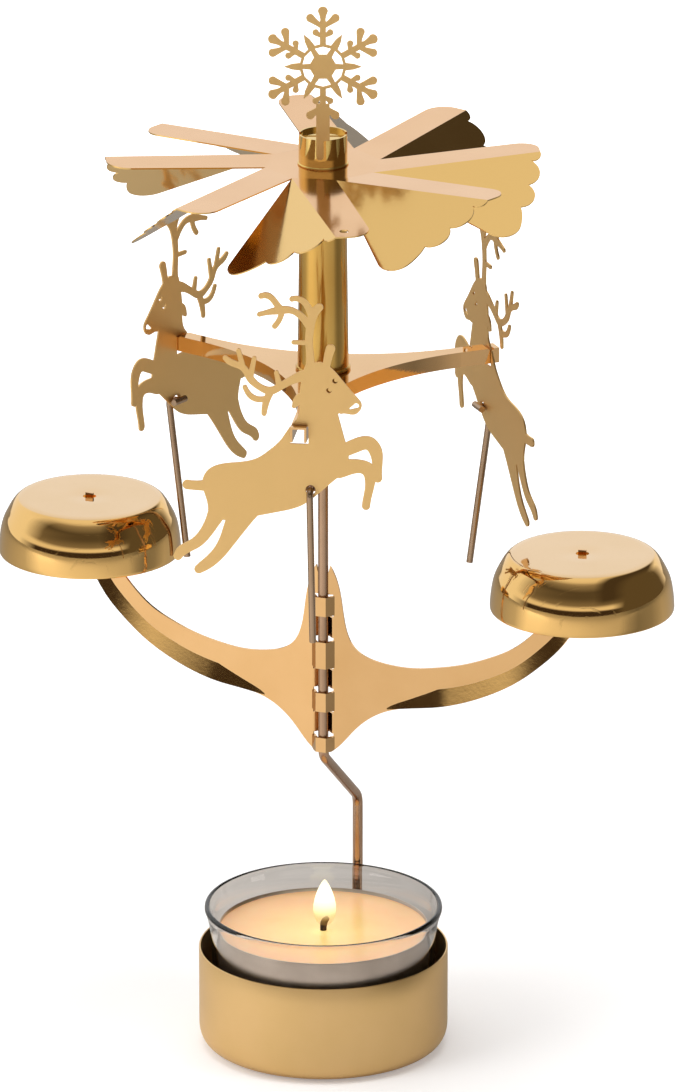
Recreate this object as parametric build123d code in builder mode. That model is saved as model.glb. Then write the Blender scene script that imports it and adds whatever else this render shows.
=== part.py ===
from build123d import *
from math import asin, cos, degrees, pi, radians, sin
import os

# Angel chime carousel: a candle's warm air turns a vane wheel on a needle point, and rods that
# hang from three reindeer strike two bells. Millimetres, Z up. The origin is the middle of the
# base cup's underside, X is the viewer's right and Y points away from the viewer.

# General fits
touch_gap = 0.05  # between pieces of one body that rest on each other
free_gap = 0.3  # between pieces that move past each other
overrun = 2.0  # how far a cutter runs past what it cuts

# Glass, the base cup that it stands in and the tealight that stands in it
glass_body_radius = 30.4
glass_flare = 2.05
glass_height = 36.7
glass_wall = 1.3
glass_floor = 6.0
glass_corner = 3.2
glass_flare_share = 0.64
glass_forward = 2.25
cup_gap = 0.9  # between the glass and the base cup where they come nearest
cup_height = 27.8
cup_wall = 0.45
cup_corner = 6.0
tealight_gap = 0.4  # between the tealight and the glass all round
tealight_height = 25.0
tealight_wall = 0.3
tealight_corner = 1.8
wax_depth = 23.4
wick_radius = 0.8
wick_stand = 3.6
wick_plate_radius = 6.0
wick_plate_height = 0.8

# Stand wire
wire_radius = 1.4
leg_angle = 72.9
leg_bend = 4.8
foot_radius = 23.0
foot_bend = 7.0
foot_corners = 6
kink_low_height = 59.8
kink_high_height = 82.7
kink_bend = 5.0
needle_tip_height = 248.9
needle_length = 6.0
needle_point = 0.25

# Bell bracket
right_azimuth = -12.4
left_azimuth = 153.3
bell_reach = 71.3
bracket_sheet = 0.7
arm_height = 104.2
arm_half_width = 5.5
arm_end_half_width = 3.0
# the arm's edges: shares of the bell's reach, and of the rise from arm_height to the arm's top
arm_upper_shares = (
    (0.248, 0.152), (0.345, 0.137), (0.445, 0.154), (0.543, 0.188), (0.638, 0.244), (0.736, 0.328),
    (0.827, 0.466), (0.898, 0.622), (0.943, 0.803), (0.957, 0.930),
)
arm_lower_shares = (
    (0.248, -0.174), (0.345, -0.138), (0.445, -0.113), (0.543, -0.070), (0.638, -0.007), (0.736, 0.082),
    (0.827, 0.200), (0.923, 0.362), (0.996, 0.574), (1.033, 0.791), (1.043, 0.930),
)
# the tab above the arms and the foot below them: shares of their half width and of their height
tab_top = 137.6
tab_half_width = 12.5
tab_shares = ((1.0, 0.08), (0.73, 0.16), (0.53, 0.33), (0.44, 0.55), (0.36, 0.77), (0.16, 1.0))
fork_depth = 7.6
foot_bottom = 84.0
foot_half_width = 17.5
foot_shares = ((0.74, 0.28), (0.51, 0.52), (0.31, 0.80), (0.12, 1.0))
# where the sheet changes from in front of the wire to behind it: shares of the way down
strap_top = 129.4
strap_shares = (0.0, 0.139, 0.284, 0.471, 0.606, 0.744, 0.890, 1.0)
strap_half_width = 2.9
strap_corner_gap = 0.9

# Bells
bell_radius = 24.9
bell_rim = 130.9
bell_height = 15.4
bell_sheet = 0.8
# the bell's side from its rim to the edge of its flat top: shares of its radius and its height
bell_shares = (
    (0.996, 0.0), (1.0, 0.08), (0.990, 0.27), (0.970, 0.47), (0.942, 0.61), (0.905, 0.73), (0.870, 0.83),
    (0.830, 0.92), (0.785, 0.98), (0.730, 1.0),
)
bell_hole_radius = 1.8
bell_pin_half_width = 1.1
bell_pin_stand = 1.0

# Rotor tube, hub cap and bearing
wheel_height = 251.0
wheel_sheet = 0.4
tube_top_radius = 6.2
tube_bottom_radius = 6.95
tube_wall = 0.4
tube_bead = 0.55
tube_tail = 3.6
cap_radius = 6.55
cap_wall = 0.5
cap_height = 8.4
cap_recess = 1.0
cap_bead = 0.3
cap_spigot = 6.0
cap_notch_width = 2.4
cap_notch_depth = 1.2
bearing_height = 4.6
bearing_cone = 2.6

# Vane wheel
vane_count = 8
vane_radius = 58.2
vane_root_radius = 15.7
vane_root_azimuth = 13.2
strip_end_width = 10.0
strip_corner = 5.5
flap_corner = 5.5
scallop_depth = 2.6
scallop_shares = (0.097, 0.359, 0.609)
vane_hole_radius = 1.2
vane_hole_inset = 4.2
vane_hole_offset = 2.6
vane_with_hole = 2
# one droop and one fold for each vane, bent by hand: the right vane first, then clockwise
vane_rise = (3.0, 2.6, -3.0, 1.5, 4.0, -1.0, 2.0, 2.0)
vane_fold = (31.0, 32.0, 28.0, 37.0, 40.0, 30.0, 40.0, 38.0)

# Figure carrier
carrier_azimuth = 22.6
carrier_count = 3
carrier_top = 193.7
carrier_depth = 4.2
carrier_sheet = 0.6
carrier_tip = 50.6
carrier_tip_width = 4.3
carrier_web = 66.0
carrier_notch = 0.4
carrier_notch_width = 1.6

# Reindeer, drawn on a square whose middle is the slot in the shoulder
figure_sheet = 0.5
figure_radius = 48.2
figure_square = 100.0
slot_width = 4.9
slot_height = 4.9
rod_hole_radius = 1.35
rod_hole_shares = (0.030, -0.152)

# Striker rods
rod_radius = 0.9
rod_bar = 5.0
rod_bend = 1.6
rod_foot_radius = 44.3
rod_foot_height = 131.5
rod_stand_off = 2.05

# Snowflake
flake_radius = 16.6
flake_height = 280.2
flake_sheet = 0.5
stem_width = 3.6
stem_slit = 0.5
stem_back_width = 1.1
stem_depth = 5.3
stem_back_depth = 4.6


def polar(radius, azimuth, height=0.0):
    """A point from its distance to the axis, its azimuth in degrees and its height."""
    return Vector(radius * cos(radians(azimuth)), radius * sin(radians(azimuth)), height)


os.makedirs("parts", exist_ok=True)

# Base cup: a drawn cup of thin sheet with a rounded lower edge
cup_radius = glass_body_radius + glass_forward + cup_gap + cup_wall
with BuildPart() as base_cup:
    with BuildSketch(Plane.XZ):
        with BuildLine():
            outside = FilletPolyline((0, 0), (cup_radius, 0), (cup_radius, cup_height), radius=cup_corner)
            inside_radius = cup_radius - cup_wall
            inside = FilletPolyline(
                (0, cup_wall),
                (inside_radius, cup_wall),
                (inside_radius, cup_height),
                radius=cup_corner - cup_wall,
            )
            Line(outside @ 0, inside @ 0)
            Line(outside @ 1, inside @ 1)
        make_face()
    revolve(axis=Axis.Z)
base_cup.part.label = "base_cup"

# Stand wire: a loop on the cup's floor, a leg up behind the glass, a kink to the axis, a needle
leg_radius = cup_radius - cup_wall - free_gap / 2 - wire_radius
floor_line = cup_wall + wire_radius
wire_start = needle_tip_height - needle_length
loop_flat = foot_radius * cos(pi / foot_corners)
loop_points = [
    polar(foot_radius, leg_angle + (corner + 1 / 2) * 360 / foot_corners, floor_line)
    for corner in range(foot_corners - 1)
]
wire_points = [
    Vector(0, 0, wire_start),
    Vector(0, 0, kink_high_height),
    polar(leg_radius, leg_angle, kink_low_height),
    polar(leg_radius, leg_angle, floor_line),
    polar(loop_flat, leg_angle, floor_line),
] + loop_points
wire_bends = [kink_bend, kink_bend, leg_bend, leg_bend] + [foot_bend] * (foot_corners - 2)
with BuildPart() as stand_wire:
    with BuildLine():
        FilletPolyline(*wire_points, radius=wire_bends)
    with BuildSketch(Plane(origin=wire_points[0], z_dir=(0, 0, -1))):
        Circle(wire_radius)
    sweep()
    with BuildSketch(Plane.XY.offset(wire_start)):
        Circle(wire_radius)
    with BuildSketch(Plane.XY.offset(needle_tip_height)):
        Circle(needle_point)
    loft()
stand_wire.part.label = "stand_wire"

# Glass cup: a thick floor, a body that fits inside the loop of the wire, and a flared rim
glass_base = floor_line + wire_radius + touch_gap
glass_axis = Vector(0, -glass_forward, glass_base)
glass_rim_radius = glass_body_radius + glass_flare
flare_height = glass_height * glass_flare_share
with BuildPart() as glass_cup:
    with BuildSketch(Plane(origin=glass_axis, x_dir=(1, 0, 0), z_dir=(0, -1, 0))) as glass_section:
        with BuildLine():
            side = FilletPolyline(
                (0, 0),
                (glass_body_radius, 0),
                (glass_body_radius, flare_height),
                radius=glass_corner,
            )
            lip = Spline(
                side @ 1,
                (glass_rim_radius, glass_height),
                tangents=(side % 1, (glass_wall, glass_corner)),
            )
            inner_side = FilletPolyline(
                (0, glass_floor),
                (glass_body_radius - glass_wall, glass_floor),
                (glass_body_radius - glass_wall, flare_height),
                radius=tealight_corner,
            )
            inner_lip = Spline(
                inner_side @ 1,
                (glass_rim_radius - glass_wall, glass_height),
                tangents=(inner_side % 1, (glass_wall, glass_corner)),
            )
            Line(side @ 0, inner_side @ 0)
            rim_top = (glass_rim_radius - glass_wall / 2, glass_height + glass_wall / 2)
            ThreePointArc(lip @ 1, rim_top, inner_lip @ 1)
        make_face()
    revolve(axis=Axis(glass_axis, (0, 0, 1)))
glass_cup.part.label = "glass_cup"

# Tealight: an aluminium cup, the wax in it, the wick and the plate that holds the wick
tealight_radius = glass_body_radius - glass_wall - tealight_gap
tealight_base = glass_axis + Vector(0, 0, glass_floor + touch_gap)
tealight_plane = Plane(origin=tealight_base, x_dir=(1, 0, 0), z_dir=(0, -1, 0))
tealight_axis = Axis(tealight_base, (0, 0, 1))
with BuildPart() as tealight_cup:
    with BuildSketch(tealight_plane):
        with BuildLine():
            outside = FilletPolyline(
                (0, 0), (tealight_radius, 0), (tealight_radius, tealight_height), radius=tealight_corner
            )
            inside_radius = tealight_radius - tealight_wall
            inside = FilletPolyline(
                (0, tealight_wall),
                (inside_radius, tealight_wall),
                (inside_radius, tealight_height),
                radius=tealight_corner - tealight_wall,
            )
            Line(outside @ 0, inside @ 0)
            Line(outside @ 1, inside @ 1)
        make_face()
    revolve(axis=tealight_axis)
tealight_cup.part.label = "tealight_cup"

plate_radius = wick_plate_radius + touch_gap
with BuildPart() as candle_wax:
    with BuildSketch(tealight_plane):
        with BuildLine():
            wax_radius = tealight_radius - tealight_wall - touch_gap
            wax_floor = tealight_wall + touch_gap
            wax_side = FilletPolyline(
                (plate_radius, wax_floor),
                (wax_radius, wax_floor),
                (wax_radius, tealight_wall + wax_depth),
                radius=tealight_corner,
            )
            plate_roof = tealight_wall + wick_plate_height + 2 * touch_gap
            Polyline(
                wax_side @ 1,
                (wick_radius + touch_gap, tealight_wall + wax_depth),
                (wick_radius + touch_gap, plate_roof),
                (plate_radius, plate_roof),
                wax_side @ 0,
            )
        make_face()
    revolve(axis=tealight_axis)
candle_wax.part.label = "candle_wax"

with BuildPart() as wick_plate:
    with BuildSketch(Plane.XY.offset(tealight_base.Z + tealight_wall + touch_gap)):
        with Locations((0, -glass_forward)):
            Circle(wick_plate_radius)
    extrude(amount=wick_plate_height)
    fillet(edges().group_by(Axis.Z)[-1], wick_plate_height / 2)
wick_plate.part.label = "wick_plate"

with BuildPart() as wick:
    with BuildSketch(Plane.XY.offset(tealight_base.Z + plate_roof)):
        with Locations((0, -glass_forward)):
            Circle(wick_radius)
    extrude(amount=tealight_wall + wax_depth + wick_stand - plate_roof)
    fillet(edges().group_by(Axis.Z)[-1], wick_radius / 2)
wick.part.label = "wick"


def upright(azimuth):
    """The upright plane through the axis whose own x runs along an azimuth."""
    return Plane(origin=(0, 0, 0), x_dir=polar(1, azimuth), z_dir=polar(1, azimuth - 90))


# Bell bracket: a cross of sheet that grips the wire between straps pushed out of it, its two
# wings bent back from the wire by the same angle
middle_azimuth = (right_azimuth + left_azimuth - 180) / 2
bell_top = bell_rim + bell_height
arm_top = bell_top - bell_sheet - touch_gap


def arm_edge(shares):
    """One edge of an arm, from its shares of the reach and of the rise."""
    return [(x * bell_reach, arm_height + z * (arm_top - arm_height)) for x, z in shares]


tab_foot_height = arm_height + arm_half_width
foot_top_height = arm_height - arm_half_width
tab_edge = [
    (x * tab_half_width, tab_foot_height + z * (tab_top - tab_foot_height)) for x, z in tab_shares
]
foot_edge = [
    (x * foot_half_width, foot_top_height + z * (foot_bottom - foot_top_height))
    for x, z in foot_shares
]
with BuildSketch(Plane.XY) as bracket_outline:
    with BuildLine():
        upper = Spline(*tab_edge[::-1], *arm_edge(arm_upper_shares))
        lower = Spline(*foot_edge[::-1], *arm_edge(arm_lower_shares))
        Line(upper @ 1, lower @ 1)
        Polyline(upper @ 0, (0, tab_top - fork_depth), (0, foot_bottom), lower @ 0)
    make_face()
    with BuildLine():
        Polyline(
            (bell_reach - arm_end_half_width, arm_top - 2 * arm_end_half_width),
            (bell_reach - arm_end_half_width, arm_top),
            (bell_reach - bell_pin_half_width, arm_top),
            (bell_reach - bell_pin_half_width, bell_top + bell_pin_stand),
            (bell_reach + bell_pin_half_width, bell_top + bell_pin_stand),
            (bell_reach + bell_pin_half_width, arm_top),
            (bell_reach + arm_end_half_width, arm_top),
            (bell_reach + arm_end_half_width, arm_top - 2 * arm_end_half_width),
            close=True,
        )
    make_face()
grip = wire_radius + touch_gap
crest = grip + bracket_sheet
root_width = strap_half_width + bracket_sheet / 2
# how far the wings have gone back from the middle plane where the straps leave them
set_back = root_width * sin(radians(right_azimuth - middle_azimuth))
strap_levels = [strap_top - share * (strap_top - foot_bottom) for share in strap_shares]
with BuildPart() as strap_row:
    for index, (high, low) in enumerate(zip(strap_levels, strap_levels[1:])):
        front = 1 if index % 2 == 0 else -1
        strap_plane = Plane(
            origin=(0, 0, low + strap_corner_gap / 2),
            x_dir=polar(1, middle_azimuth),
            z_dir=(0, 0, 1),
        )
        with BuildSketch(strap_plane):
            with BuildLine():
                # local y points away from the viewer, so a strap in front of the wire has -y
                near_face = set_back - bracket_sheet / 2 * front
                far_face = set_back + bracket_sheet / 2 * front
                Polyline(
                    (-root_width, far_face),
                    (-root_width, near_face),
                    (-grip, -crest * front),
                    (grip, -crest * front),
                    (root_width, near_face),
                    (root_width, far_face),
                    (root_width - bracket_sheet, far_face),
                    (grip - bracket_sheet / 2, -grip * front),
                    (-grip + bracket_sheet / 2, -grip * front),
                    (-root_width + bracket_sheet, far_face),
                    close=True,
                )
            make_face()
        extrude(amount=high - low - strap_corner_gap)
    # the straps stay within the outline of the sheet that they are pushed out of
    with BuildSketch(upright(middle_azimuth)):
        add(bracket_outline.sketch)
        add(bracket_outline.sketch.mirror(Plane.YZ))
    extrude(amount=overrun + crest, both=True, mode=Mode.INTERSECT)
with BuildPart() as bell_bracket:
    for azimuth in (right_azimuth, left_azimuth):
        with BuildSketch(upright(azimuth)):
            add(bracket_outline.sketch)
            # the slot that the wire is threaded through, and the fork above it
            with Locations((0, (strap_top + foot_bottom) / 2)):
                Rectangle(2 * strap_half_width, strap_top - foot_bottom, mode=Mode.SUBTRACT)
            with Locations((0, (tab_top + strap_top) / 2)):
                Rectangle(2 * grip, tab_top - strap_top + overrun, mode=Mode.SUBTRACT)
        extrude(amount=bracket_sheet / 2, both=True)
    add(strap_row.part)
bell_bracket.part.label = "bell_bracket"

# Bells: spun cups with a flat top and a rounded shoulder, drawn in a little at the rim
outer_side = [(radius * bell_radius, height * bell_height) for radius, height in bell_shares]
inner_side = [
    (radius * (bell_radius - bell_sheet), height * (bell_height - bell_sheet))
    for radius, height in bell_shares
]
bells = []
for bell_name, azimuth in (("bell_right", right_azimuth), ("bell_left", left_azimuth)):
    bell_spot = polar(bell_reach, azimuth, bell_rim)
    with BuildPart() as bell:
        with BuildSketch(Plane(origin=bell_spot, x_dir=(1, 0, 0), z_dir=(0, -1, 0))):
            with BuildLine():
                outer_skin = Spline(*outer_side, tangents=((1, 6), (-1, 0)))
                inner_skin = Spline(*inner_side, tangents=((1, 6), (-1, 0)))
                Polyline(
                    outer_skin @ 1,
                    (bell_hole_radius, bell_height),
                    (bell_hole_radius, bell_height - bell_sheet),
                    inner_skin @ 1,
                )
                Line(inner_skin @ 0, outer_skin @ 0)
            make_face()
        revolve(axis=Axis(bell_spot, (0, 0, 1)))
    bell.part.label = bell_name
    bells.append(bell)


def limb(points, size):
    """A rounded strip through a row of centres, each with its radius, as shares of a size."""
    spots = [(Vector(x, y) * size, radius * size) for x, y, radius in points]
    left = []
    right = []
    for index, (spot, radius) in enumerate(spots):
        before = spots[max(index - 1, 0)][0]
        after = spots[min(index + 1, len(spots) - 1)][0]
        along = (after - before).normalized()
        across = Vector(-along.Y, along.X) * radius
        left.append(spot + across)
        right.append(spot - across)
    first_spot, first_radius = spots[0]
    last_spot, last_radius = spots[-1]
    start = first_spot - (spots[1][0] - first_spot).normalized() * first_radius
    end = last_spot + (last_spot - spots[-2][0]).normalized() * last_radius
    edge = Spline if len(points) > 2 else Line
    with BuildSketch() as strip:
        with BuildLine():
            one = edge(*left)
            other = edge(*right)
            ThreePointArc(one @ 0, start, other @ 0)
            ThreePointArc(one @ 1, end, other @ 1)
        make_face()
    return strip.sketch


# Vane wheel: a disc slit into eight vanes, each with a strip left flat and a flap folded down
wheel_top = wheel_height + wheel_sheet / 2
half_vane = 180 / vane_count
root_chord = 2 * vane_root_radius * sin(radians(half_vane))
root_drop = vane_root_radius * cos(radians(half_vane))
fold_angle = half_vane - 2 * degrees(asin(strip_end_width / (2 * vane_radius)))


def on_ring(angle, radius):
    """A point of a flat vane: angle from its middle line, radius from the wheel's middle."""
    x = root_chord / 2 + radius * sin(radians(angle))
    return Vector(x, radius * cos(radians(angle)) - root_drop)


fold_end = on_ring(fold_angle, vane_radius)
strip_end = on_ring(half_vane, vane_radius)
flap_end = on_ring(-half_vane, vane_radius)
with BuildSketch() as strip_outline:
    with BuildLine():
        Polyline(
            fold_end,
            (0, 0),
            (0, -wheel_sheet),
            (root_chord, -wheel_sheet),
            (root_chord, 0),
            strip_end,
        )
        ThreePointArc(strip_end, on_ring((fold_angle + half_vane) / 2, vane_radius), fold_end)
    make_face()
    fillet(strip_outline.vertices().sort_by_distance(strip_end)[0], radius=strip_corner)
cusp_angles = [fold_angle - share * (fold_angle + half_vane) for share in scallop_shares]
cusps = [on_ring(angle, vane_radius - scallop_depth) for angle in cusp_angles]
lobe_angles = [fold_angle] + cusp_angles + [-half_vane]
lobe_ends = [fold_end] + cusps + [flap_end]
with BuildSketch() as flap_outline:
    with BuildLine():
        Line((0, 0), fold_end)
        for index in range(len(lobe_ends) - 1):
            crown = (lobe_angles[index] + lobe_angles[index + 1]) / 2
            ThreePointArc(lobe_ends[index], on_ring(crown, vane_radius), lobe_ends[index + 1])
        Line(flap_end, (0, 0))
    make_face()
    fillet(flap_outline.vertices().sort_by_distance(flap_end)[0], radius=flap_corner)
fold_line = fold_end.normalized()
hole_turn = degrees(asin(vane_hole_offset / vane_radius))
hole_spot = on_ring(fold_angle + hole_turn, vane_radius - vane_hole_inset)
cap_spigot_radius = tube_top_radius - tube_wall - touch_gap
with BuildPart() as vane_wheel:
    with BuildSketch(Plane.XY.offset(wheel_top)):
        RegularPolygon(vane_root_radius, vane_count, rotation=vane_root_azimuth)
    extrude(amount=-wheel_sheet)
    for index in range(vane_count):
        ahead = polar(vane_root_radius, vane_root_azimuth - 2 * half_vane * index, wheel_top)
        behind = polar(vane_root_radius, vane_root_azimuth - 2 * half_vane * (index + 1), wheel_top)
        chord = (ahead - behind).normalized()
        root = Axis(behind, chord)
        down = Vector(0, 0, -1).rotate(root, -vane_rise[index])
        strip_plane = Plane(origin=behind, x_dir=chord, z_dir=down)
        with BuildSketch(strip_plane):
            add(strip_outline.sketch)
            if index == vane_with_hole:
                with Locations(hole_spot):
                    Circle(vane_hole_radius, mode=Mode.SUBTRACT)
        extrude(amount=wheel_sheet)
        fold = Axis(behind, strip_plane.x_dir * fold_line.X + strip_plane.y_dir * fold_line.Y)
        flap_plane = Plane(
            origin=behind,
            x_dir=chord.rotate(fold, vane_fold[index]),
            z_dir=down.rotate(fold, vane_fold[index]),
        )
        with BuildSketch(flap_plane):
            add(flap_outline.sketch)
        extrude(amount=wheel_sheet)
    with BuildSketch(Plane.XY.offset(wheel_top)):
        Circle(cap_spigot_radius + touch_gap)
    extrude(amount=wheel_sheet, both=True, mode=Mode.SUBTRACT)
vane_wheel.part.label = "vane_wheel"

# Rotor tube: a slightly tapered tube, with a bead above the figure carrier and one below it
tube_top = wheel_top - wheel_sheet
tube_bottom = carrier_top - tube_tail


def tube_radius_at(height):
    """The tube's outer radius at a height."""
    share_down = (tube_top - height) / (tube_top - tube_bottom)
    return tube_top_radius + (tube_bottom_radius - tube_top_radius) * share_down


with BuildPart() as rotor_tube:
    with BuildSketch(Plane.XZ):
        Polygon(
            (tube_top_radius, tube_top),
            (tube_bottom_radius, tube_bottom),
            (tube_bottom_radius - tube_wall, tube_bottom),
            (tube_top_radius - tube_wall, tube_top),
            align=None,
        )
        for bead_height in (carrier_top + tube_bead, carrier_top - carrier_sheet - tube_bead):
            with Locations((tube_radius_at(bead_height), bead_height)):
                Circle(tube_bead)
        # the beads are rolled out of the wall, so they don't stand into the bore
        with BuildLine():
            Polyline(
                (0, tube_top),
                (tube_top_radius - tube_wall, tube_top),
                (tube_bottom_radius - tube_wall, tube_bottom),
                (0, tube_bottom),
                close=True,
            )
        make_face(mode=Mode.SUBTRACT)
    revolve(axis=Axis.Z)
rotor_tube.part.label = "rotor_tube"

# Hub cap: a spun cap with a sunk floor, standing on the wheel, its spigot in the tube
cap_rim = wheel_top + cap_height
spigot_end = wheel_top - cap_spigot
cap_floor = cap_rim - cap_recess
bore_radius = cap_spigot_radius - cap_wall
flake_front = -cap_radius - touch_gap * 2 - flake_sheet / 2
back_leg_y = -cap_radius + cap_wall + free_gap + flake_sheet / 2
back_leg_x = (stem_width - stem_back_width) / 2
with BuildPart() as hub_cap:
    with BuildSketch(Plane.XZ):
        Polygon(
            (bore_radius, spigot_end),
            (cap_spigot_radius, spigot_end),
            (cap_spigot_radius, wheel_top),
            (cap_radius, wheel_top),
            (cap_radius, cap_rim),
            (cap_radius - cap_wall, cap_rim),
            (cap_radius - cap_wall, cap_floor),
            (0, cap_floor),
            (0, cap_floor - cap_wall),
            (cap_radius - cap_wall, cap_floor - cap_wall),
            (cap_radius - cap_wall, wheel_top + cap_wall),
            (bore_radius, wheel_top + cap_wall),
            align=None,
        )
        with Locations((cap_radius, wheel_top + touch_gap + cap_bead)):
            Circle(cap_bead)
    revolve(axis=Axis.Z)
    # a notch in the rim on either side, and the slot in the floor for the snowflake's leg
    with BuildSketch(Plane.YZ):
        with Locations((0, cap_rim)):
            Rectangle(cap_notch_width, 2 * cap_notch_depth)
    extrude(amount=cap_radius + overrun, both=True, mode=Mode.SUBTRACT)
    with BuildSketch(Plane.XY.offset(cap_floor)):
        with Locations((back_leg_x, back_leg_y)):
            Rectangle(stem_back_width + 2 * free_gap, flake_sheet + 2 * free_gap)
    extrude(amount=cap_wall, both=True, mode=Mode.SUBTRACT)
hub_cap.part.label = "hub_cap"

# Bearing cup: a plug in the cap's spigot, its cone resting on the needle's point
with BuildPart() as bearing_cup:
    with BuildSketch(Plane.XZ):
        bearing_radius = bore_radius - touch_gap
        Polygon(
            (bearing_cone, spigot_end),
            (bearing_radius, spigot_end),
            (bearing_radius, spigot_end + bearing_height),
            (0, spigot_end + bearing_height),
            (0, needle_tip_height + touch_gap),
            (needle_point + touch_gap, needle_tip_height + touch_gap),
            align=None,
        )
    revolve(axis=Axis.Z)
bearing_cup.part.label = "bearing_cup"

# Figure carrier: three arms of channel section with wide curves between them, tips open
def carrier_star(half_width, reach, web):
    """The outline of the three arms."""
    with BuildSketch() as star:
        for index in range(carrier_count):
            turn = carrier_azimuth + 360 / carrier_count * index
            with Locations(Rotation(0, 0, turn)):
                Rectangle(reach, 2 * half_width, align=(Align.MIN, Align.CENTER))
        corners = star.vertices().sort_by_distance((0, 0, 0))[:carrier_count]
        fillet(corners, radius=web)
    return star.sketch


carrier_half = carrier_tip_width / 2
with BuildPart() as figure_carrier:
    with BuildSketch(Plane.XY.offset(carrier_top)):
        add(carrier_star(carrier_half, carrier_tip, carrier_web))
    extrude(amount=-carrier_depth)
    with BuildSketch(Plane.XY.offset(carrier_top - carrier_depth)):
        add(carrier_star(carrier_half - carrier_sheet, carrier_tip + overrun, carrier_web + carrier_sheet))
    extrude(amount=carrier_depth - carrier_sheet, mode=Mode.SUBTRACT)
    with BuildSketch(Plane.XY.offset(carrier_top)):
        Circle(tube_radius_at(carrier_top) + touch_gap)
    extrude(amount=-carrier_depth, mode=Mode.SUBTRACT)
    for index in range(carrier_count):
        turn = carrier_azimuth + 360 / carrier_count * index
        with Locations(Location(polar(figure_radius, turn, carrier_top), (0, 0, turn))):
            Box(carrier_notch_width, 2 * carrier_tip_width, 2 * carrier_notch, mode=Mode.SUBTRACT)
figure_carrier.part.label = "figure_carrier"

# Reindeer: a leaping figure cut from sheet, hung by the slot in its shoulder, with a rod hole
# under its neck; outlines are shares of the square that it is drawn on, towards its nose and up
back_shares = (
    (0.016, 0.195), (0.005, 0.150), (0.0, 0.100), (-0.006, 0.046), (-0.022, 0.026),
    (-0.049, -0.015), (-0.080, -0.046), (-0.115, -0.071), (-0.1675, -0.084), (-0.2175, -0.093),
    (-0.246, -0.110), (-0.260, -0.142), (-0.252, -0.180), (-0.245, -0.220),
)
belly_shares = (
    (-0.202, -0.247), (-0.130, -0.235), (-0.0925, -0.226), (-0.0425, -0.214), (0.0075, -0.196),
    (0.0325, -0.178), (0.064, -0.150), (0.092, -0.124), (0.125, -0.088), (0.130, -0.040),
    (0.122, -0.011), (0.113, 0.0235), (0.104, 0.057),
)
face_shares = (
    (0.104, 0.057), (0.119, 0.065), (0.145, 0.063), (0.162, 0.075), (0.166, 0.092),
    (0.152, 0.113), (0.119, 0.151), (0.080, 0.193), (0.055, 0.206),
)
brow_share = (0.029, 0.203)
limb_shares = (
    # front antler: trunk, its two tines, the branch over the back and its tines
    ((0.029, 0.190, 0.012), (0.028, 0.231, 0.010), (0.026, 0.265, 0.010), (0.029, 0.300, 0.011),
     (0.034, 0.327, 0.012), (0.0535, 0.357, 0.0105)),
    ((0.034, 0.327, 0.010), (0.022, 0.358, 0.0085), (0.004, 0.376, 0.008), (-0.019, 0.377, 0.0075)),
    ((0.028, 0.298, 0.009), (0.004, 0.331, 0.009), (-0.019, 0.345, 0.009), (-0.048, 0.345, 0.011),
     (-0.078, 0.339, 0.008), (-0.106, 0.331, 0.0065)),
    ((-0.048, 0.347, 0.009), (-0.061, 0.362, 0.0085), (-0.078, 0.381, 0.0085), (-0.101, 0.382, 0.008)),
    ((-0.046, 0.342, 0.008), (-0.052, 0.320, 0.0075), (-0.065, 0.300, 0.0075)),
    ((0.026, 0.258, 0.0065), (-0.015, 0.257, 0.006)),
    # rear antler: the beam and its tines
    ((0.030, 0.168, 0.014), (0.013, 0.166, 0.015), (-0.019, 0.152, 0.011), (-0.052, 0.132, 0.010),
     (-0.075, 0.120, 0.011), (-0.110, 0.132, 0.009), (-0.131, 0.152, 0.010), (-0.150, 0.181, 0.009),
     (-0.173, 0.191, 0.009), (-0.197, 0.206, 0.007)),
    ((-0.052, 0.132, 0.009), (-0.061, 0.171, 0.006)),
    ((-0.150, 0.181, 0.008), (-0.162, 0.228, 0.006)),
    ((-0.131, 0.152, 0.008), (-0.120, 0.208, 0.006)),
    ((-0.075, 0.120, 0.010), (-0.087, 0.093, 0.0095), (-0.094, 0.056, 0.007)),
    ((-0.086, 0.098, 0.008), (-0.122, 0.098, 0.008), (-0.145, 0.127, 0.0065)),
    # ears
    ((0.072, 0.195, 0.010), (0.076, 0.217, 0.011), (0.083, 0.243, 0.0125)),
    ((0.024, 0.110, 0.013), (-0.004, 0.096, 0.013), (-0.014, 0.080, 0.006)),
    # tail, hind legs, front legs
    ((-0.235, -0.150, 0.018), (-0.262, -0.153, 0.014), (-0.300, -0.152, 0.013)),
    ((-0.215, -0.215, 0.028), (-0.227, -0.240, 0.022), (-0.249, -0.281, 0.017), (-0.280, -0.316, 0.015),
     (-0.318, -0.341, 0.014), (-0.326, -0.353, 0.012)),
    ((-0.140, -0.212, 0.034), (-0.165, -0.247, 0.032), (-0.196, -0.308, 0.021), (-0.224, -0.349, 0.017),
     (-0.260, -0.381, 0.014), (-0.270, -0.388, 0.012)),
    ((0.095, -0.050, 0.020), (0.120, -0.038, 0.018), (0.155, -0.021, 0.019), (0.186, -0.016, 0.019),
     (0.203, -0.036, 0.0175), (0.208, -0.070, 0.014), (0.209, -0.112, 0.012)),
    ((0.085, -0.080, 0.026), (0.115, -0.088, 0.026), (0.155, -0.081, 0.019), (0.182, -0.089, 0.019),
     (0.189, -0.120, 0.014), (0.181, -0.170, 0.011), (0.178, -0.191, 0.011)),
)
nose_shares = ((0.136, 0.079, 0.0025), (0.152, 0.088, 0.007))
eye_shares = ((0.095, 0.154), (0.079, 0.127))
eye_share = 0.0075
lid_share = 0.0055
lid_shift_share = 0.0035
mouth_shares = (0.107, 0.061)
mouth_share = 0.004


def scaled(shares):
    """Points of the reindeer's drawing in millimetres."""
    return [(x * figure_square, y * figure_square) for x, y in shares]


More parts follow.
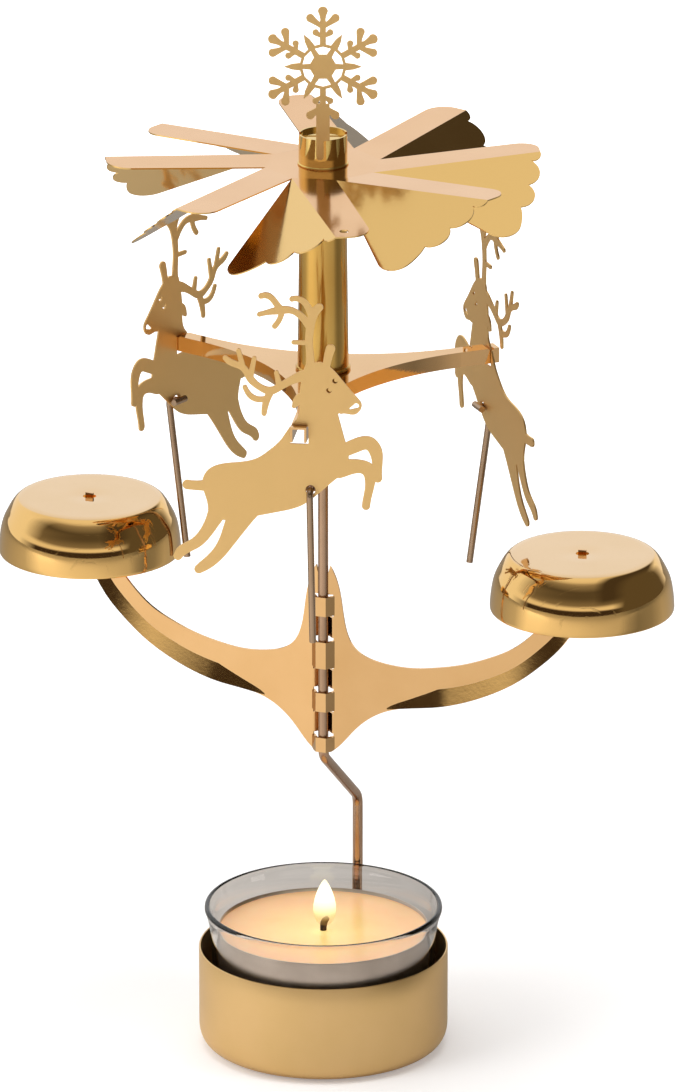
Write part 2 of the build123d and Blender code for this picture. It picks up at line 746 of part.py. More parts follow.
with BuildSketch() as reindeer_outline:
    with BuildLine():
        spine_line = Spline(*scaled(back_shares))
        belly_line = Spline(*scaled(belly_shares))
        face_line = Spline(*scaled(face_shares))
        brow = scaled((brow_share,))[0]
        Line(spine_line @ 1, belly_line @ 0)
        Polyline(face_line @ 1, brow, spine_line @ 0)
    make_face()
    for points in limb_shares:
        add(limb(points, figure_square))
    Rectangle(slot_width, slot_height, mode=Mode.SUBTRACT)
    with Locations(*scaled((rod_hole_shares,))):
        Circle(rod_hole_radius, mode=Mode.SUBTRACT)
    with Locations(*scaled((mouth_shares,))):
        Circle(mouth_share * figure_square, mode=Mode.SUBTRACT)
    add(limb(nose_shares, figure_square), mode=Mode.SUBTRACT)
    with BuildSketch(mode=Mode.SUBTRACT):
        with Locations(*scaled(eye_shares)):
            Circle(eye_share * figure_square)
        shift = lid_shift_share * figure_square
        with Locations(*[(x + shift, y + shift) for x, y in scaled(eye_shares)]):
            Circle(lid_share * figure_square, mode=Mode.SUBTRACT)

hang_height = carrier_top - carrier_notch + touch_gap
figure_height = hang_height - slot_height / 2
rod_hole = scaled((rod_hole_shares,))[0]
rod_inside = figure_radius - figure_sheet / 2 - free_gap - rod_radius
rod_outside = figure_radius + figure_sheet / 2 + rod_stand_off
figures = []
for index, side in enumerate(("right", "left", "front")):
    turn = carrier_azimuth + 360 / carrier_count * index
    heading = polar(1, turn + 90)
    outward = polar(1, turn)
    with BuildPart() as reindeer:
        slot_spot = polar(figure_radius, turn, figure_height)
        with BuildSketch(Plane(origin=slot_spot, x_dir=heading, z_dir=outward)):
            add(reindeer_outline.sketch)
        extrude(amount=figure_sheet / 2, both=True)
    reindeer.part.label = f"reindeer_{side}"
    # Striker rod: a cross bar behind the figure, a neck through its hole and a long leg
    middle = heading * rod_hole[0]
    hole_height = figure_height + rod_hole[1]
    neck = middle + polar(rod_inside, turn, hole_height)
    with BuildPart() as striker:
        with BuildLine():
            FilletPolyline(
                neck,
                middle + polar(rod_outside, turn, hole_height),
                middle + polar(rod_foot_radius, turn, rod_foot_height),
                radius=rod_bend,
            )
        with BuildSketch(Plane(origin=neck, z_dir=outward)):
            Circle(rod_radius)
        sweep()
        with BuildSketch(Plane(origin=neck, z_dir=heading)):
            Circle(rod_radius)
        extrude(amount=rod_bar / 2, both=True)
    striker.part.label = f"striker_{side}"
    figures += [reindeer, striker]

# Snowflake: six branched arms around a star, the lowest one lengthened into a split stem that
# straddles the cap's rim; outlines are shares of the tip radius
arm_shares = (
    ((0.0, 0.30, 0.050), (0.0, 0.75, 0.048)),
    ((0.0, 0.72, 0.040), (0.0, 0.82, 0.048), (0.0, 0.92, 0.080)),
    ((0.0, 0.66, 0.034), (0.10, 0.73, 0.044), (0.20, 0.81, 0.068)),
    ((0.0, 0.66, 0.034), (-0.10, 0.73, 0.044), (-0.20, 0.81, 0.068)),
    ((0.0, 0.50, 0.030), (0.06, 0.53, 0.034), (0.115, 0.57, 0.052)),
    ((0.0, 0.50, 0.030), (-0.06, 0.53, 0.034), (-0.115, 0.57, 0.052)),
)
ray_shares = ((-0.07, 0.30), (0.07, 0.30), (0.045, 0.50), (0.0, 0.62), (-0.045, 0.50))
window_shares = ((-0.06, 0.20), (0.06, 0.20), (0.13, 0.30), (0.0, 0.335), (-0.13, 0.30))
hub_share = 0.37
stem_share = 0.62
arm_count = 6


def facet(shares, turn):
    """A straight-edged patch of the snowflake, turned about its middle."""
    with BuildSketch() as patch:
        with BuildLine():
            Polyline(*[Vector(x, y) * flake_radius for x, y in shares], close=True)
        make_face()
    return patch.sketch.rotate(Axis.Z, turn)


flake_base = flake_height - cap_rim
stem_top = stem_share * flake_radius
leg_end = flake_base + stem_depth
front_leg_width = stem_width - stem_back_width - stem_slit
with BuildSketch() as flake_outline:
    Circle(hub_share * flake_radius)
    for index in range(arm_count):
        turn = 360 / arm_count * index
        for points in arm_shares:
            add(limb(points, flake_radius).rotate(Axis.Z, turn))
        add(facet(ray_shares, turn + 180 / arm_count))
    for index in range(arm_count):
        add(facet(window_shares, 360 / arm_count * index), mode=Mode.SUBTRACT)
    # the stem, its slit and its front leg; the back leg is bent behind the rim
    with Locations((0, -(stem_top + flake_base) / 2)):
        Rectangle(stem_width, flake_base - stem_top)
    with Locations(((front_leg_width - stem_width) / 2, -(flake_base + leg_end) / 2)):
        Rectangle(front_leg_width, leg_end - flake_base)
    fillet(flake_outline.vertices().group_by(Axis.Y)[0], radius=front_leg_width / 2 - touch_gap)
joggle = flake_sheet + free_gap
with BuildPart() as snowflake:
    with BuildSketch(Plane(origin=(0, flake_front, flake_height), x_dir=(1, 0, 0), z_dir=(0, -1, 0))):
        add(flake_outline.sketch)
    extrude(amount=flake_sheet / 2, both=True)
    # the stem clears the rim on its way down, and the back leg steps behind the wall
    with BuildSketch(Plane.YZ.offset(back_leg_x)):
        Polygon(
            (flake_front - flake_sheet / 2, cap_rim + joggle),
            (back_leg_y + flake_sheet / 2, cap_rim + joggle),
            (back_leg_y + flake_sheet / 2, cap_rim - stem_back_depth),
            (back_leg_y - flake_sheet / 2, cap_rim - stem_back_depth),
            (back_leg_y - flake_sheet / 2, cap_rim + free_gap),
            (flake_front - flake_sheet / 2, cap_rim + free_gap),
            align=None,
        )
    extrude(amount=stem_back_width / 2, both=True)
snowflake.part.label = "snowflake"

pieces = [base_cup, stand_wire, bell_bracket, glass_cup, tealight_cup, candle_wax, wick_plate, wick]
pieces += [rotor_tube, hub_cap, bearing_cup, vane_wheel, figure_carrier, snowflake]
for piece in pieces + bells + figures:
    export_step(piece.part, f"parts/{piece.part.label}.step")
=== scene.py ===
import bpy
import math
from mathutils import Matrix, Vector


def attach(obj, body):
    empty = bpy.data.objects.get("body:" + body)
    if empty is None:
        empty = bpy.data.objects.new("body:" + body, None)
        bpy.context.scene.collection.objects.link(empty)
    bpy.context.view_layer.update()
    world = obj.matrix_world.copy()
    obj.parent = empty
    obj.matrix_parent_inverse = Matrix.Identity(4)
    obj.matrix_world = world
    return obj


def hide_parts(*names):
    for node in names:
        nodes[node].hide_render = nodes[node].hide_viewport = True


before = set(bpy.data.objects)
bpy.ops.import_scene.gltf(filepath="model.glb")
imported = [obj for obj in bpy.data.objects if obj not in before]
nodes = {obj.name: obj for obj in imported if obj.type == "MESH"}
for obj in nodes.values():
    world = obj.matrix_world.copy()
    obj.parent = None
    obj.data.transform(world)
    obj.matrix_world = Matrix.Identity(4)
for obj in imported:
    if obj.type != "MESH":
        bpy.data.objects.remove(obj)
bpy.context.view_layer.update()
mm = 0.001

# Camera: a long lens, 19 degrees above the level
view = {"tilt": 19.247, "distance": 3.0695, "centre": (0.004536, 0.0, 0.14305),
        "focalPixels": 11372.3, "imageHeight": 1092, "sensor": 36.0, "clipEnd": 20.0}
tilt = math.radians(view["tilt"])
cameraData = bpy.data.cameras.new("camera")
cameraData.sensor_width = view["sensor"]
cameraData.lens = view["focalPixels"] / view["imageHeight"] * view["sensor"]
cameraData.clip_end = view["clipEnd"]
camera = bpy.data.objects.new("camera", cameraData)
fromCentre = Vector((0, -math.cos(tilt), math.sin(tilt))) * view["distance"]
camera.location = Vector(view["centre"]) + fromCentre
camera.rotation_euler = (math.pi / 2 - tilt, 0, 0)
bpy.context.collection.objects.link(camera)
bpy.context.scene.camera = camera
bpy.context.scene.view_settings.view_transform = "Standard"
print("camera made")


# Shader maths: a socket that can be added, multiplied and so on, from either side
class Sock:
    def __init__(self, graph, out):
        self.graph = graph
        self.out = out

    def maths(self, operation, first, second):
        return self.graph.node("Math", {"operation": operation}, {0: first, 1: second})

    def __add__(self, other):
        return self.maths("ADD", self, other)

    def __radd__(self, other):
        return self.maths("ADD", other, self)

    def __sub__(self, other):
        return self.maths("SUBTRACT", self, other)

    def __rsub__(self, other):
        return self.maths("SUBTRACT", other, self)

    def __mul__(self, other):
        return self.maths("MULTIPLY", self, other)

    def __rmul__(self, other):
        return self.maths("MULTIPLY", other, self)

    def __truediv__(self, other):
        return self.maths("DIVIDE", self, other)

    def __rtruediv__(self, other):
        return self.maths("DIVIDE", other, self)

    def __pow__(self, other):
        return self.maths("POWER", self, other)

    def __rpow__(self, other):
        return self.maths("POWER", other, self)


# A node tree: every node comes from the node method, the others only shorten its call
class Graph:
    def __init__(self, tree):
        self.tree = tree

    def node(self, kind, settings=None, inputs=None, output=0):
        made = self.tree.nodes.new("ShaderNode" + kind)
        for key, value in (settings or {}).items():
            if key == "stops":
                band = made.color_ramp
                while len(band.elements) < len(value):
                    band.elements.new(0.5)
                for element, (spot, colour) in zip(band.elements, value):
                    element.position = spot
                    element.color = (*colour, 1)
            else:
                setattr(made, key, value)
        for key, value in (inputs or {}).items():
            self.feed(made, key, value)
        return Sock(self, made.outputs[output]) if len(made.outputs) else made

    def feed(self, made, key, value):
        if isinstance(value, Sock):
            self.tree.links.new(value.out, made.inputs[key])
        else:
            made.inputs[key].default_value = value

    def place(self, scale=(1, 1, 1), turn=0.0, shift=0.0):
        return self.node("Mapping", inputs={
            "Vector": self.node("TexCoord", output="Object"), "Rotation": (0, 0, turn),
            "Location": (shift, shift, 0), "Scale": scale})

    def noise(self, place, scale, detail, rough=0.5):
        return self.node("TexNoise", inputs={
            "Vector": place, "Scale": scale, "Detail": detail, "Roughness": rough})

    def ramp(self, factor, stops):
        return self.node("ValToRGB", {"stops": stops}, {"Fac": factor})

    def part(self, place, axis):
        return self.node("SeparateXYZ", inputs={"Vector": place}, output=axis)

    def between(self, value, low, high):
        # 0 at low, 1 at high
        return self.node("MapRange", inputs={"Value": value, "From Min": low, "From Max": high})

    def mix(self, factor, first, second):
        return self.node("Mix", {"data_type": "RGBA"}, {0: factor, 6: first, 7: second}, 2)


# A material: a node tree whose values feed its Principled shader
class Shade(Graph):
    def __init__(self, name, **values):
        self.material = bpy.data.materials.new(name)
        self.material.use_nodes = True
        super().__init__(self.material.node_tree)
        self.shader = self.tree.nodes["Principled BSDF"]
        for key, value in values.items():
            self.give(key.replace("_", " "), value)

    def give(self, key, value):
        self.feed(self.shader, key, value)

    def bump(self, height):
        # height in metres
        self.give("Normal", self.node("Bump", inputs={
            "Height": height, "Distance": 1.0, "Strength": 1.0}))


# Painted reflection: where a sheet slopes or stands, its gold is painted yellower than where it
# lies flat, standing in for the different room it mirrors there
def slopeReflectionTint(shade, flat, slope):
    level = shade.part(shade.node("NewGeometry", output="Normal"), "Z")
    upright = shade.between(shade.node("Math", {"operation": "ABSOLUTE"}, {0: level}), 0.97, 0.88)
    return shade.mix(upright, flat, (*slope, 1))


# A metal surface: slightly uneven tint and gloss, fine scratches and waves in the sheet; a slope
# tint, where given, is painted reflection
metalGrain = {"cloudScale": 60.0, "grainScale": 900.0, "waveScale": 22.0, "uneven": 0.04,
              "scratch": 0.000006, "wave": 0.00006}


def metal(name, tint, dark, rough, stretch=(1, 1, 1), slope=None, wave=metalGrain["wave"]):
    g = metalGrain
    shade = Shade(name, Metallic=1.0)
    cloud = shade.noise(shade.place(), g["cloudScale"], 4.0)
    grain = shade.noise(shade.place(stretch), g["grainScale"], 3.0, 0.6)
    slow = shade.noise(shade.place(), g["waveScale"], 2.0)
    colour = shade.ramp(cloud, [(0.3, dark), (0.7, tint)])
    # painted reflection: with a slope tint, the gold is painted yellower where the sheet slopes or
    # stands
    shade.give("Base Color", slopeReflectionTint(shade, colour, slope) if slope else colour)
    gloss = (cloud - 0.5) * g["uneven"] * 2 + (grain - 0.5) * g["uneven"]
    shade.give("Roughness", gloss + rough)
    shade.bump(grain * g["scratch"] + slow * wave)
    return shade


# Gold with short random scratches, as a bell gets from its rods and from wiping:
# three sets of streaks, each with a turn and a shift of its own
# the slope tint is painted reflection: the bell's wall is painted yellower where it slopes or
# stands
bellFinish = {"tint": (0.82, 0.585, 0.345), "dark": (0.79, 0.555, 0.305),
              "slope": (0.86, 0.545, 0.20), "rough": 0.06, "wave": 0.00006,
              "streaks": ((0.5, 0.0), (1.7, 3.1), (2.6, 7.7)), "streakScale": 130.0,
              "streakRough": 0.16, "streakDepth": 0.000004}


def scratchedGold(name, d):
    shade = Shade(name, Metallic=1.0)
    cloud = shade.noise(shade.place(), 45.0, 4.0)
    lines = 0.0
    for turn, shift in d["streaks"]:
        streak = shade.noise(shade.place((1, 14, 1), turn, shift), d["streakScale"], 2.0)
        lines = shade.between(streak, 0.66, 0.74) + lines
    colour = shade.ramp(cloud, [(0.3, d["dark"]), (0.7, d["tint"])])
    # painted reflection: yellower where the bell's sheet slopes
    shade.give("Base Color", slopeReflectionTint(shade, colour, d["slope"]))
    shade.give("Roughness", lines * d["streakRough"] + (cloud - 0.5) * 0.05 + d["rough"])
    slow = shade.noise(shade.place(), 22.0, 2.0)
    shade.bump(slow * d["wave"] - lines * d["streakDepth"])
    return shade


# Each metal: its tint, its darker tint, its roughness, then what is special about it
metals = {
    "mirrorGold": ((0.80, 0.50, 0.235), (0.75, 0.455, 0.20), 0.06, {}),
    "capGold": ((0.82, 0.58, 0.20), (0.76, 0.52, 0.16), 0.08, {}),
    # crease: the bracket's own gold painted yellower, a painted reflection of its sloping pressed
    # sheet
    "creaseReflectionGold": ((0.86, 0.545, 0.20), (0.80, 0.49, 0.17), 0.08, {}),
    # vanes: their slope tint is painted reflection, yellower where a vane slopes or stands
    "vaneGold": ((0.82, 0.50, 0.255), (0.78, 0.46, 0.22), 0.12, {"slope": (0.82, 0.54, 0.20)}),
    "tubeGold": ((0.72, 0.45, 0.125), (0.65, 0.38, 0.095), 0.15, {"stretch": (1, 1, 0.04)}),
    "satinGold": ((0.88, 0.60, 0.28), (0.84, 0.57, 0.25), 0.36, {"stretch": (0.05, 0.05, 1)}),
    "matteGold": ((0.93, 0.62, 0.265), (0.90, 0.60, 0.25), 0.42, {"wave": 0.00002}),
    "bearingBrass": ((0.72, 0.50, 0.22), (0.66, 0.44, 0.18), 0.3, {}),
    "steelWire": ((0.56, 0.37, 0.25), (0.42, 0.27, 0.17), 0.24, {"stretch": (1, 1, 0.05)}),
    "rodWire": ((0.48, 0.34, 0.23), (0.38, 0.26, 0.17), 0.24, {"stretch": (1, 1, 0.05)}),
    "foil": ((0.70, 0.63, 0.56), (0.50, 0.44, 0.38), 0.32, {"stretch": (1, 1, 0.03)}),
    "tinplate": ((0.7, 0.66, 0.6), (0.6, 0.56, 0.5), 0.3, {}),
}
materials = {name: metal(name, *look, **special) for name, (*look, special) in metals.items()}
materials["bellGold"] = scratchedGold("bellGold", bellFinish)
materials["clearGlass"] = Shade(
    "clearGlass", Base_Color=(0.935, 0.905, 0.89, 1), Roughness=0.0,
    Transmission_Weight=1.0, IOR=1.46)


# Wax lit from its middle by the flame: yellow near the wick, peach at the edge
waxGlow = {"forward": 0.00225, "radius": 0.028, "bump": 0.00004,
           "tints": [(0.3, (0.84, 0.55, 0.30)), (0.7, (0.87, 0.59, 0.33))],
           "glow": [(0.0, (0.60, 0.45, 0.12)), (0.15, (0.40, 0.29, 0.05)),
                    (0.45, (0.30, 0.21, 0.03)), (0.8, (0.30, 0.13, 0.04)),
                    (1.0, (0.30, 0.12, 0.05))]}


def waxShade(d):
    shade = Shade("wax", Roughness=0.22, Subsurface_Weight=0.5, Subsurface_Scale=0.02,
                  Emission_Strength=1.0)
    where = shade.node("TexCoord", output="Object")
    x = shade.part(where, "X")
    y = shade.part(where, "Y") + d["forward"]
    reach = (x * x + y * y) ** 0.5 / d["radius"]
    cloud = shade.noise(shade.place(), 120.0, 3.0)
    shade.give("Base Color", shade.ramp(cloud, d["tints"]))
    shade.give("Emission Color", shade.ramp(reach, d["glow"]))
    shade.bump(cloud * d["bump"])
    return shade


# Flame: orange and thin at its foot, where the wick shows through, then bright yellow,
# nearly white in the middle. Foot and height in metres
flameGlow = {"foot": 0.0345, "height": 0.0155,
             "glow": [(0.0, (0.30, 0.14, 0.03)), (0.14, (0.75, 0.42, 0.10)),
                      (0.3, (1.0, 0.85, 0.42)), (0.6, (1.0, 0.97, 0.75)),
                      (1.0, (1.0, 0.86, 0.45))],
             "cover": [(0.12, (0.15, 0.15, 0.15)), (0.42, (1.0, 1.0, 1.0))]}


def flameShade(d):
    shade = Shade("flame", Base_Color=(0, 0, 0, 1), Roughness=1.0, Emission_Strength=1.6)
    height = shade.part(shade.node("TexCoord", output="Object"), "Z")
    share = (height - d["foot"]) / d["height"]
    shade.give("Emission Color", shade.ramp(share, d["glow"]))
    shade.give("Alpha", shade.ramp(share, d["cover"]))
    return shade


# Charred cotton: dark brown threads, greyer where they have burnt
def wickShade():
    shade = Shade("charred", Roughness=0.85)
    twist = shade.noise(shade.place((1, 1, 0.4)), 1500.0, 2.0)
    shade.give("Base Color", shade.ramp(twist, [
        (0.35, (0.02, 0.012, 0.008)), (0.65, (0.10, 0.05, 0.025))]))
    shade.bump(twist * 0.0001)
    return shade


materials["wax"] = waxShade(waxGlow)
materials["flame"] = flameShade(flameGlow)
materials["charred"] = wickShade()

nodeMaterials = {
    "base_cup": "satinGold", "stand_wire": "steelWire", "bell_bracket": "mirrorGold",
    "glass_cup": "clearGlass", "tealight_cup": "foil", "candle_wax": "wax",
    "wick_plate": "tinplate", "wick": "charred", "bell_left": "bellGold",
    "bell_right": "bellGold", "rotor_tube": "tubeGold", "hub_cap": "capGold",
    "bearing_cup": "bearingBrass", "vane_wheel": "vaneGold", "figure_carrier": "mirrorGold",
    "snowflake": "matteGold", "reindeer_front": "matteGold", "reindeer_left": "matteGold",
    "reindeer_right": "matteGold", "striker_front": "rodWire", "striker_left": "rodWire",
    "striker_right": "rodWire",
}
for name, materialName in nodeMaterials.items():
    mesh = nodes[name].data
    mesh.materials.clear()
    mesh.materials.append(materials[materialName].material)
print("materials given")


def pickNothing():
    if bpy.context.object and bpy.context.object.mode != "OBJECT":
        bpy.ops.object.mode_set(mode="OBJECT")
    bpy.ops.object.select_all(action="DESELECT")


def finishPiece(name, body, materialName, replaced=(), smoothAngle=40):
    piece = bpy.context.object
    piece.name = name
    piece.data.name = name
    bpy.ops.object.transform_apply(location=True, rotation=True, scale=True)
    bpy.ops.object.shade_smooth_by_angle(angle=math.radians(smoothAngle))
    piece.data.materials.clear()
    piece.data.materials.append(materials[materialName].material)
    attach(piece, body)
    if replaced:
        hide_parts(*replaced)


# A turned shape: a ring is extruded and resized from row to row of its profile
def turned(profile, centre, segments, closed=True):
    # profile: (radius, height) in millimetres from the start ring round to the last ring
    pickNothing()
    x, y, z = centre
    radius, height = profile[0]
    bpy.ops.mesh.primitive_circle_add(
        vertices=segments, radius=radius * mm, location=(x, y, z + height * mm))
    bpy.ops.object.transform_apply(location=True, rotation=False, scale=False)
    bpy.ops.object.mode_set(mode="EDIT")
    bpy.ops.mesh.select_all(action="SELECT")
    if not closed:
        bpy.ops.mesh.edge_face_add()
    for nextRadius, nextHeight in profile[1:]:
        rise = (nextHeight - height) * mm
        bpy.ops.mesh.extrude_region_move(TRANSFORM_OT_translate={"value": (0, 0, rise)})
        grow = nextRadius / radius
        bpy.ops.transform.resize(value=(grow, grow, 1), center_override=(x, y, z))
        radius, height = nextRadius, nextHeight
    if not closed:
        bpy.ops.mesh.edge_face_add()
    bpy.ops.mesh.select_all(action="SELECT")
    bpy.ops.mesh.remove_doubles(threshold=0.000002)
    bpy.ops.mesh.normals_make_consistent(inside=False)
    bpy.ops.object.mode_set(mode="OBJECT")
    return bpy.context.object


def rounded(start, corner, end, steps):
    # points of a curve from start to end that bends round a corner
    points = []
    for step in range(steps + 1):
        t = step / steps
        points.append(tuple(
            (1 - t) ** 2 * start[i] + 2 * t * (1 - t) * corner[i] + t ** 2 * end[i]
            for i in (0, 1)))
    return points


def throughPoints(points, steps=4):
    # a smooth curve through a row of points, its ends straight on
    padded = [points[0]] + list(points) + [points[-1]]
    curve = []
    for a, b, c, d in zip(padded, padded[1:], padded[2:], padded[3:]):
        for step in range(steps):
            t = step / steps
            curve.append(tuple(
                b[i] + t * (c[i] - a[i]) / 2 + t ** 2 * (a[i] - 2.5 * b[i] + 2 * c[i] - d[i] / 2)
                + t ** 3 * (1.5 * (b[i] - c[i]) + (d[i] - a[i]) / 2) for i in (0, 1)))
    return curve + [tuple(points[-1])]


# Base cup: drawn sheet with a rounded lower edge and a softly rounded lip
baseCup = {"radius": 34.0, "height": 27.8, "wall": 0.45, "corner": 6.0, "lip": 0.25, "pole": 0.5}


def makeBaseCup(d):
    outer = d["radius"]
    inner = outer - d["wall"]
    corner = d["corner"]
    profile = [(d["pole"], 0), (outer - corner - 3, 0)]
    profile += rounded((outer - corner, 0), (outer, 0), (outer, corner), 12)
    profile += [(outer, 12), (outer, 20), (outer, d["height"] - d["lip"])]
    profile += [(outer - 0.1, d["height"] - 0.05), (outer - 0.22, d["height"])]
    profile += [(inner, d["height"] - 0.1)]
    profile += [(inner, 20), (inner, 12)]
    profile += rounded(
        (inner, corner), (inner, d["wall"]), (inner - corner + d["wall"], d["wall"]), 10)
    profile += [(inner - corner - 3, d["wall"]), (d["pole"], d["wall"])]
    turned(profile, (0, 0, 0), 160, False)
    finishPiece("baseCup", "base", "satinGold", ["base_cup"])


makeBaseCup(baseCup)
print("base cup made")

# Bells: a flat top that curves over into a wall that widens as far as the rim
bell = {"reach": 71.3, "rim": 130.9, "radius": 24.85, "height": 15.4, "sheet": 0.8, "hole": 1.8,
        "rimShare": 0.997,
        "side": [(0.73, 1.0), (0.785, 0.981), (0.830, 0.922), (0.870, 0.832), (0.905, 0.730),
                 (0.942, 0.610), (0.970, 0.470), (0.990, 0.270), (1.0, 0.080), (0.997, 0.012)]}
wingAzimuth = {"right": -12.4, "left": 153.3}


def makeBell(d, name, azimuth, node):
    x = d["reach"] * math.cos(math.radians(azimuth)) * mm
    y = d["reach"] * math.sin(math.radians(azimuth)) * mm
    top = d["height"]
    sheet = d["sheet"]
    side = throughPoints(d["side"])
    innerRadius = d["radius"] - sheet
    profile = [(d["hole"], top - 0.05), (d["hole"] + 0.3, top), (8, top), (14, top), (17, top)]
    profile += [(share * d["radius"], rise * top) for share, rise in side]
    profile += [(d["radius"] * d["rimShare"] - 0.12, 0), (innerRadius * d["rimShare"] + 0.1, 0)]
    profile += [(share * innerRadius, rise * (top - sheet)) for share, rise in side[::-1]]
    profile += [(14, top - sheet), (8, top - sheet), (d["hole"], top - sheet)]
    profile += [(d["hole"], top - 0.05)]
    turned(profile, (x, y, d["rim"] * mm), 160)
    finishPiece(name, node + "_body", "bellGold", [node])


makeBell(bell, "bellRight", wingAzimuth["right"], "bell_right")
makeBell(bell, "bellLeft", wingAzimuth["left"], "bell_left")
print("bells made")

# Bracket arms: the lower half of each arm is pressed forward from a crease that follows the arm.
# Edges as in the CAD: shares of the reach, and of the rise to the arm's top
arm = {"reach": 71.3, "height": 104.2, "rise": 41.25, "front": 0.3,
       "depth": 1.25, "startDepth": 0.12, "crease": 0.46, "growRows": 9,
       "upper": [(0.248, 0.152), (0.345, 0.137), (0.445, 0.154), (0.543, 0.188), (0.638, 0.244),
                 (0.736, 0.328), (0.827, 0.466), (0.898, 0.622), (0.943, 0.803), (0.957, 0.930)],
       "lower": [(0.248, -0.160), (0.345, -0.136), (0.445, -0.111), (0.543, -0.068),
                 (0.638, -0.005), (0.736, 0.084), (0.827, 0.202), (0.921, 0.364),
                 (0.993, 0.574), (1.030, 0.791)]}


def makeArmCrease(d, name, azimuth, side):
    # side: -1 where the wing's front is its own -Y side, 1 where it is its +Y side
    def spot(share):
        out, up = share
        return Vector((out * d["reach"], d["front"] * side, d["height"] + up * d["rise"])) * mm

    # both the height of the pressed part and its depth grow over the first rows
    rows = []
    depths = []
    for low, high in zip(throughPoints(d["lower"]), throughPoints(d["upper"])):
        grown = min(1, len(rows) / d["growRows"])
        depths.append(d["startDepth"] + (d["depth"] - d["startDepth"]) * grown)
        share = d["crease"] * min(1, (len(rows) + 1) / d["growRows"])
        rows.append((spot(low), (spot(high) - spot(low)) * share))
    pickNothing()
    # a right-angled triangle: the crease at its top, the arm's lower edge at its foot
    bpy.ops.mesh.primitive_plane_add(size=1, rotation=(0, math.pi / 2, 0))
    bpy.ops.object.transform_apply(location=True, rotation=True, scale=True)
    bpy.ops.object.mode_set(mode="EDIT")
    bpy.ops.mesh.select_mode(type="VERT")
    bpy.ops.mesh.select_all(action="DESELECT")
    bpy.ops.object.mode_set(mode="OBJECT")
    for vertex in bpy.context.object.data.vertices:
        vertex.select = vertex.co.y * side > 0 and vertex.co.z > 0
    bpy.ops.object.mode_set(mode="EDIT")
    bpy.ops.mesh.delete(type="VERT")
    bpy.ops.mesh.select_all(action="SELECT")
    bpy.ops.mesh.edge_face_add()
    bpy.ops.transform.translate(value=(0, side / 2, 0.5))
    low, slope = rows[0]
    lean = math.atan2(-slope.x, slope.z)
    bpy.ops.transform.resize(
        value=(1, depths[0] * mm, slope.length), center_override=(0, 0, 0))
    bpy.ops.transform.rotate(value=lean, orient_axis="Y", center_override=(0, 0, 0))
    bpy.ops.transform.translate(value=low)
    steps = zip(rows, rows[1:], depths, depths[1:])
    for (before, beforeSlope), (low, slope), thin, thick in steps:
        bpy.ops.mesh.extrude_region_move(TRANSFORM_OT_translate={"value": low - before})
        turn = math.atan2(-slope.x, slope.z) - lean
        lean += turn
        bpy.ops.transform.rotate(value=turn, orient_axis="Y", center_override=low)
        grow = slope.length / beforeSlope.length
        bpy.ops.transform.resize(value=(grow, thick / thin, grow), center_override=low)
    bpy.ops.mesh.select_all(action="SELECT")
    bpy.ops.mesh.normals_make_consistent(inside=False)
    bpy.ops.object.mode_set(mode="OBJECT")
    # with no window this operator turns the other way
    bpy.ops.transform.rotate(
        value=-math.radians(azimuth), orient_axis="Z", center_override=(0, 0, 0))
    # the crease is painted yellower than the bracket's gold around it: painted reflection
    finishPiece(name, "base", "creaseReflectionGold")


makeArmCrease(arm, "armCreaseRight", wingAzimuth["right"], -1)
makeArmCrease(arm, "armCreaseLeft", wingAzimuth["left"], 1)
print("arm creases made")


# Glass: a thick floor, clear walls that widen upwards, a fire-polished rim
glassCup = {"forward": 2.25, "base": 3.3, "floor": 6.0, "wall": 1.3, "bodyRadius": 30.4,
            "rimRadius": 32.4, "height": 37.3, "flareShare": 0.63, "corner": 3.2, "pole": 0.5}


def makeGlass(d):
    body = d["bodyRadius"]
    rim = d["rimRadius"]
    top = d["height"]
    wall = d["wall"]
    floor = d["floor"]
    flare = top * d["flareShare"]
    profile = [(d["pole"], 0), (body - 6, 0)]
    profile += rounded((body - d["corner"], 0), (body, 0), (body, d["corner"]), 8)
    profile += [(body, 12), (body, flare)]
    profile += rounded((body, flare + 1.5), (body + 0.6, top - 4.5), (rim, top - 1.2), 6)
    profile += rounded((rim, top - 0.9), (rim - 0.1, top), (rim - wall / 2, top), 4)
    profile += rounded(
        (rim - wall / 2 - 0.1, top), (rim - wall, top), (rim - wall - 0.05, top - 0.9), 4)
    inner = body - wall
    profile += rounded((rim - wall - 0.1, top - 1.2), (inner, top - 6.0), (inner, flare), 6)
    profile += [(inner, 16), (inner, floor + 2)]
    profile += rounded((inner, floor + 1.6), (inner, floor), (inner - 1.6, floor), 5)
    profile += [(body - 8, floor), (d["pole"], floor)]
    turned(profile, (0, -d["forward"] * mm, d["base"] * mm), 160, False)
    finishPiece("glassCup", "glass", "clearGlass", ["glass_cup"])


makeGlass(glassCup)
print("glass made")


# Tealight: a fluted foil cup with a rolled rim, molten wax with a raised edge, a bent wick, a flame
tealight = {"forward": 2.25, "base": 9.35, "radius": 28.8, "height": 25.0, "wall": 0.3,
            "corner": 1.8, "roll": 0.45, "pole": 0.5, "flutes": 72, "fluteDepth": 0.22,
            "waxTop": 23.7, "waxHole": 1.0, "plateTop": 1.25,
            "wickRadius": 0.85, "wickLean": 0.72, "wickStep": 0.62,
            # the wick's burnt end: the turn in degrees and the growth of each step
            "wickEnd": ((0, 1.04), (2, 1.03), (4, 1.05), (10, 1.02), (18, 0.96), (24, 0.86),
                        (20, 0.7)),
            # the flame: radius and height above the wax
            "flame": [(0.6, 1.4), (1.5, 1.7), (2.3, 2.6), (2.9, 4.0), (3.1, 5.6), (3.05, 7.2),
                      (2.75, 8.9), (2.3, 10.4), (1.8, 11.7), (1.25, 12.9), (0.75, 13.8),
                      (0.3, 14.4)],
            "flameAside": 0.35}


